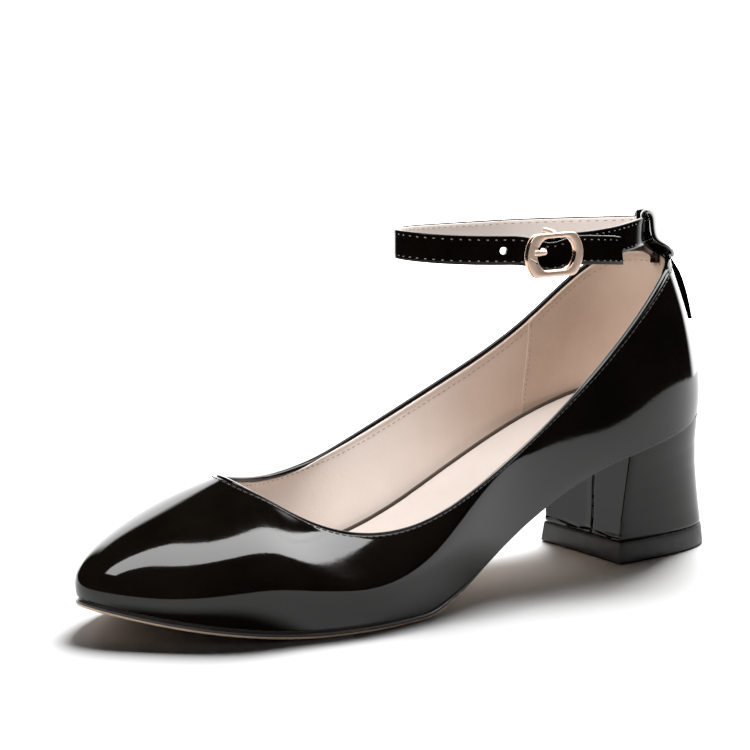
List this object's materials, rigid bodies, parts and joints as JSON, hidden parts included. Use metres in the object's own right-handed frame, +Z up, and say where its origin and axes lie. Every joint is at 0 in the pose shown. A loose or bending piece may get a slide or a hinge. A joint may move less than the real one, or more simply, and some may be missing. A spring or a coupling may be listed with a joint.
{
  "type": "mid heel shoe",
  "caption": "Left ankle-strap pump in black patent leather on a covered block heel, with an open throat, a nude lining and a buckled strap held by a loop at the back of the collar.",
  "frame": {"origin": "On the floor under the middle of the shoe's bounding box, with the shoe standing on its heel and tread.", "axes": "The toe points along -Y and the back of the heel along +Y, +X is the outer side of the foot, +Z is up."},
  "size_m": [0.0793, 0.2375, 0.1158],
  "materials": {
    "patent_black": "black patent, mirror gloss",
    "sole_black": "black satin edge, tan underside",
    "insole_nude": "smooth nude leather, satin",
    "heel_patent": "block covered in black patent, gloss",
    "lift_rubber": "black, satin",
    "rose_gold": "polished rose-gold plate"
  },
  "bodies": {
    "root": {"upper": "patent_black", "outsole": "sole_black", "insole": "insole_nude", "heel_block": "heel_patent", "top_lift": "lift_rubber", "ankle_strap": "patent_black", "buckle_frame": "rose_gold", "buckle_prong": "rose_gold", "heel_loop": "patent_black", "loop_tail_outer": "patent_black", "loop_tail_inner": "patent_black"}
  },
  "joints": []
}
